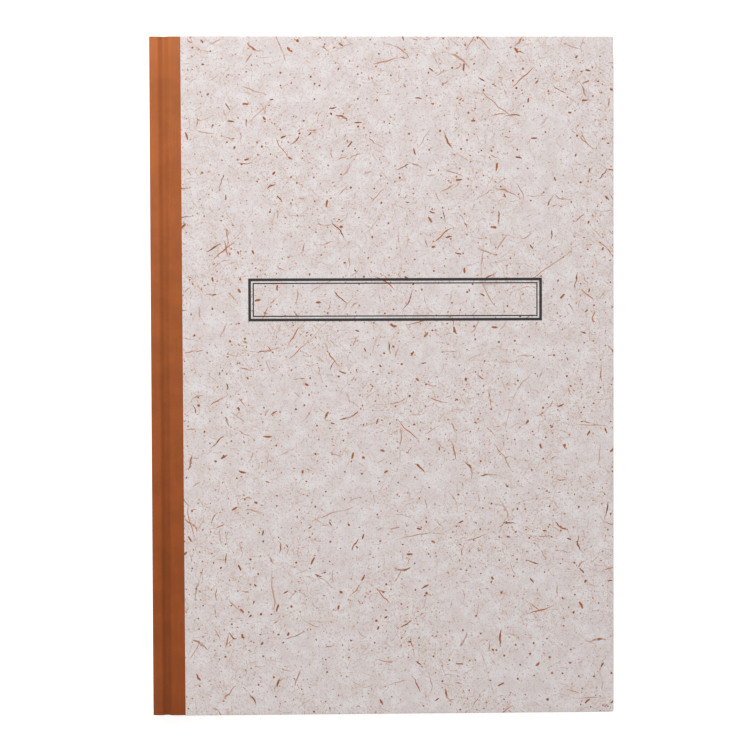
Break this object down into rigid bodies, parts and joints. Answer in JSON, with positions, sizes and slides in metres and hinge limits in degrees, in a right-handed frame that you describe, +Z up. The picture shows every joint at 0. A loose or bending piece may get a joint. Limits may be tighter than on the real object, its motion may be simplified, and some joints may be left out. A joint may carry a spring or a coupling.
{
  "type": "record book",
  "caption": "Hard-bound A4-class record book with a brown spine strip, fibre-speckled board covers and sewn sections that open with the front cover.",
  "frame": {"origin": "middle of the back cover's outer face, on which the closed book lies", "axes": "+Z up through the closed book, +Y along the spine towards the head, +X from the spine to the fore-edge"},
  "size_m": [0.202, 0.296, 0.0131],
  "materials": {
    "grey_board": "matte",
    "brown_strip": "satin",
    "fibre_paper": "satin",
    "endpaper": "matte",
    "leaf_paper": "matte",
    "gauze": "matte",
    "thread": "matte"
  },
  "bodies": {
    "text_block": {"spine_board": "grey_board", "spine_strip": "brown_strip", "spine_gauze": "gauze", "sewing_thread": "thread", "section_1_fold": "leaf_paper", "section_2_fold": "leaf_paper", "section_3": "leaf_paper", "section_4": "leaf_paper", "section_5": "leaf_paper", "section_6": "leaf_paper", "front_endpaper_fold": "endpaper", "front_joint_strip": "brown_strip", "front_gauze_joint": "gauze", "back_endpaper_fold": "endpaper", "back_joint_strip": "brown_strip", "back_gauze_joint": "gauze", "back_flyleaf": "endpaper"},
    "front_cover": {"front_board": "grey_board", "front_strip_flange": "brown_strip", "front_cover_paper": "fibre_paper", "front_gauze_flange": "gauze", "front_pastedown": "endpaper"},
    "back_cover": {"back_board": "grey_board", "back_strip_flange": "brown_strip", "back_cover_paper": "fibre_paper", "back_gauze_flange": "gauze", "back_pastedown": "endpaper"},
    "front_flyleaf": {"front_flyleaf": "endpaper"},
    "section_1": {"section_1_leaves": "leaf_paper"},
    "section_2": {"section_2_leaves": "leaf_paper"}
  },
  "joints": [
    {"name": "front_cover_hinge", "type": "hinge", "parent": "text_block", "child": "front_cover", "pos_m": [-0.09714, 0, 0.01062], "axis": [0, -1, 0], "range_deg": [0, 179.5], "deforming": ["front_joint_strip", "front_gauze_joint", "front_endpaper_fold"]},
    {"name": "back_cover_hinge", "type": "hinge", "parent": "text_block", "child": "back_cover", "pos_m": [-0.09714, 0, 0.00252], "axis": [0, 1, 0], "range_deg": [0, 179.5], "deforming": ["back_joint_strip", "back_gauze_joint", "back_endpaper_fold"]},
    {"name": "front_flyleaf_turn", "type": "hinge", "parent": "text_block", "child": "front_flyleaf", "pos_m": [-0.09714, 0, 0.01062], "axis": [0, -1, 0], "range_deg": [0, 180]},
    {"name": "section_1_turn", "type": "hinge", "parent": "text_block", "child": "section_1", "pos_m": [-0.09714, 0, 0.01062], "axis": [0, -1, 0], "range_deg": [0, 180], "deforming": ["section_1_fold"]},
    {"name": "section_2_turn", "type": "hinge", "parent": "text_block", "child": "section_2", "pos_m": [-0.09714, 0, 0.01062], "axis": [0, -1, 0], "range_deg": [0, 180], "deforming": ["section_2_fold"]}
  ],
  "couplings": [
    {"joint": "front_flyleaf_turn", "follows": "front_cover_hinge", "ratio": 0.995},
    {"joint": "section_1_turn", "follows": "front_cover_hinge", "ratio": 0.99},
    {"joint": "section_2_turn", "follows": "front_cover_hinge", "ratio": 0.985}
  ]
}
